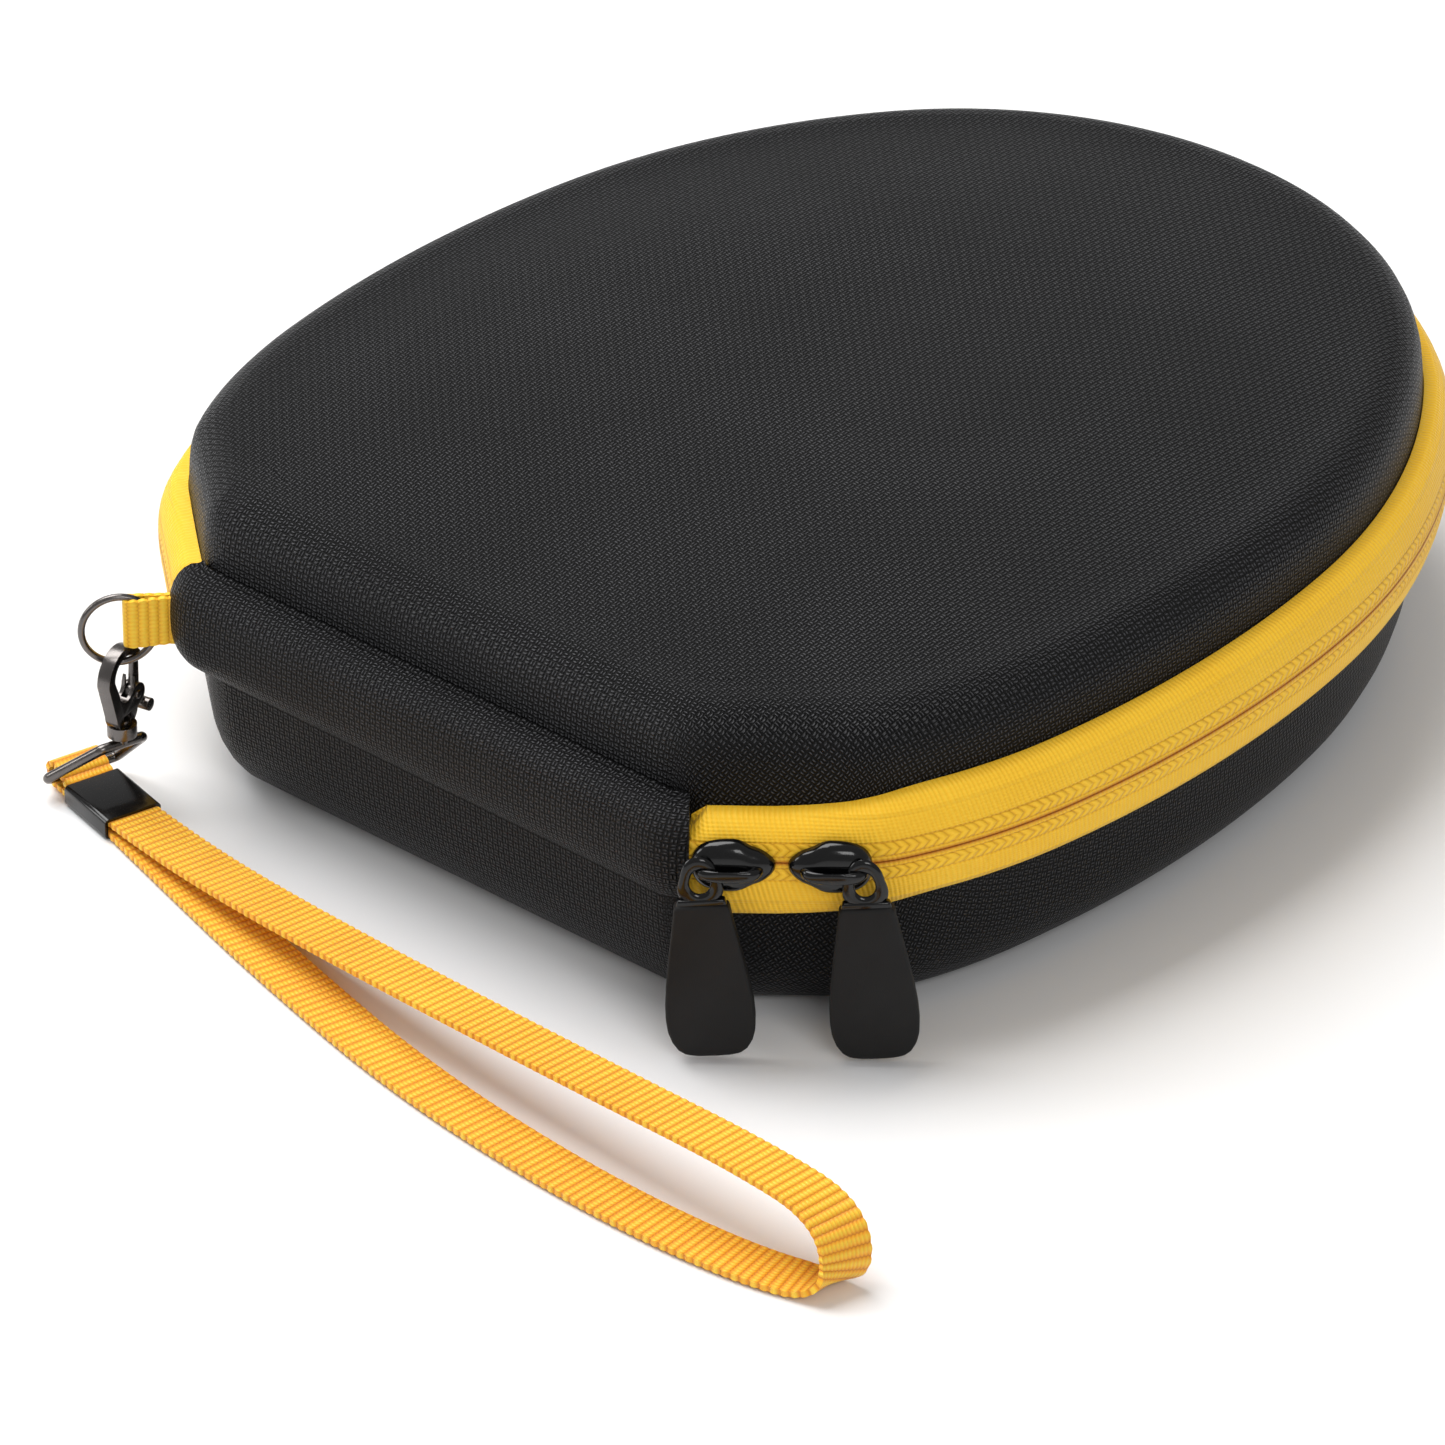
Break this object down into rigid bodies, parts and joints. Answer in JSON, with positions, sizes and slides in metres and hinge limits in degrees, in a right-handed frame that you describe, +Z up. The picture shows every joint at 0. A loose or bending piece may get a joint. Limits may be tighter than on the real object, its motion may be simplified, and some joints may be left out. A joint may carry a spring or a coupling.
{
  "type": "headphone carrying case",
  "caption": "Hard moulded headphone case, rounded at one end, with a zip round three sides, twin pullers and a clip-on wrist strap.",
  "frame": {"origin": "middle of the case on the floor it stands on, without the clasp and strap", "axes": "+X from the hinge spine to the round nose, +Y along the hinge towards the ring tab, +Z up"},
  "size_m": [0.2807, 0.2327, 0.067],
  "materials": {
    "shell_fabric": "black ballistic nylon weave over moulded foam",
    "lining_fleece": "black brushed fleece",
    "binding_tape": "black woven binding",
    "zip_tape": "yellow ribbed zip tape",
    "zip_coil": "yellow nylon coil",
    "spine_fabric": "black ballistic nylon weave",
    "pocket_mesh": "black open net",
    "elastic": "black ribbed elastic",
    "slider_black": "gloss black lacquer on zinc",
    "tag_rubber": "matte black soft rubber",
    "tab_webbing": "yellow ribbed webbing",
    "gunmetal": "dark nickel plating",
    "strap_webbing": "yellow ribbed webbing",
    "ferrule_black": "gloss black lacquered steel"
  },
  "bodies": {
    "base": {"base_shell": "shell_fabric", "base_lining": "lining_fleece", "base_binding": "binding_tape", "zipper_tape_lower": "zip_tape", "zipper_coil_lower": "zip_coil", "spine_lower": "spine_fabric"},
    "lid": {"lid_shell": "shell_fabric", "lid_lining": "lining_fleece", "lid_binding": "binding_tape", "zipper_tape_upper": "zip_tape", "zipper_coil_upper": "zip_coil", "spine_upper": "spine_fabric", "pocket_net": "pocket_mesh", "pocket_elastic": "elastic"},
    "slider_1": {"slider_1_body": "slider_black"},
    "pull_1": {"slider_1_link": "slider_black", "slider_1_tag": "tag_rubber"},
    "slider_2": {"slider_2_body": "slider_black"},
    "pull_2": {"slider_2_link": "slider_black", "slider_2_tag": "tag_rubber"},
    "tab": {"ring_tab": "tab_webbing"},
    "ring": {"tab_ring": "gunmetal"},
    "clasp": {"clasp_body": "gunmetal", "clasp_pin": "gunmetal"},
    "gate": {"clasp_gate": "gunmetal"},
    "eye": {"swivel_eye": "gunmetal"},
    "strap": {"strap_ferrule": "ferrule_black", "strap_end_loop": "strap_webbing", "wrist_strap": "strap_webbing"}
  },
  "joints": [
    {"name": "lid_hinge", "type": "hinge", "parent": "base", "child": "lid", "pos_m": [-0.11317, 0, 0.038], "axis": [0, -1, 0], "range_deg": [0, 110], "deforming": ["ring_tab", "zipper_tape_upper"]},
    {"name": "slider_1_travel", "type": "slide", "parent": "base", "child": "slider_1", "axis": [0.6428, -0.766, 0], "range_m": [-0.0003, 0.0012]},
    {"name": "pull_1_swing", "type": "hinge", "parent": "slider_1", "child": "pull_1", "pos_m": [-0.10731, -0.06921, 0.038], "axis": [-0.6428, 0.766, 0], "range_deg": [0, 15]},
    {"name": "slider_2_travel", "type": "hinge", "parent": "base", "child": "slider_2", "pos_m": [-0.07197, -0.06357, 0.038], "axis": [0, 0, 1], "range_deg": [0, 24]},
    {"name": "pull_2_swing", "type": "hinge", "parent": "slider_2", "child": "pull_2", "pos_m": [-0.09671, -0.08185, 0.038], "axis": [-0.6428, 0.766, 0], "range_deg": [0, 15]},
    {"name": "tab_swing", "type": "hinge", "parent": "base", "child": "tab", "pos_m": [-0.11013, 0.06165, 0.038], "axis": [0, 0, 1], "range_deg": [-40, 0]},
    {"name": "ring_turn", "type": "hinge", "parent": "tab", "child": "ring", "pos_m": [-0.11702, 0.06743, 0.0354], "axis": [0.6428, 0.766, 0], "range_deg": [-12, 0]},
    {"name": "clasp_swing", "type": "hinge", "parent": "ring", "child": "clasp", "pos_m": [-0.11702, 0.06743, 0.02875], "axis": [-0.766, 0.6428, 0], "range_deg": [0, 12]},
    {"name": "gate_press", "type": "hinge", "parent": "clasp", "child": "gate", "pos_m": [-0.1135, 0.06818, 0.02045], "axis": [0.2079, -0.9781, 0], "range_deg": [0, 18], "stiffness_Nm_per_rad": 0.004, "springref_deg": -17.19},
    {"name": "eye_swivel", "type": "hinge", "parent": "clasp", "child": "eye", "pos_m": [-0.11702, 0.06743, 0.01525], "axis": [0, 0, 1], "range_deg": [-30, 0]},
    {"name": "strap_lift", "type": "hinge", "parent": "eye", "child": "strap", "pos_m": [-0.11883, 0.07674, 0.0034], "axis": [-0.9684, 0.2496, 0], "range_deg": [0, 18]}
  ],
  "couplings": [
    {"joint": "tab_swing", "follows": "lid_hinge", "ratio": -0.36}
  ]
}
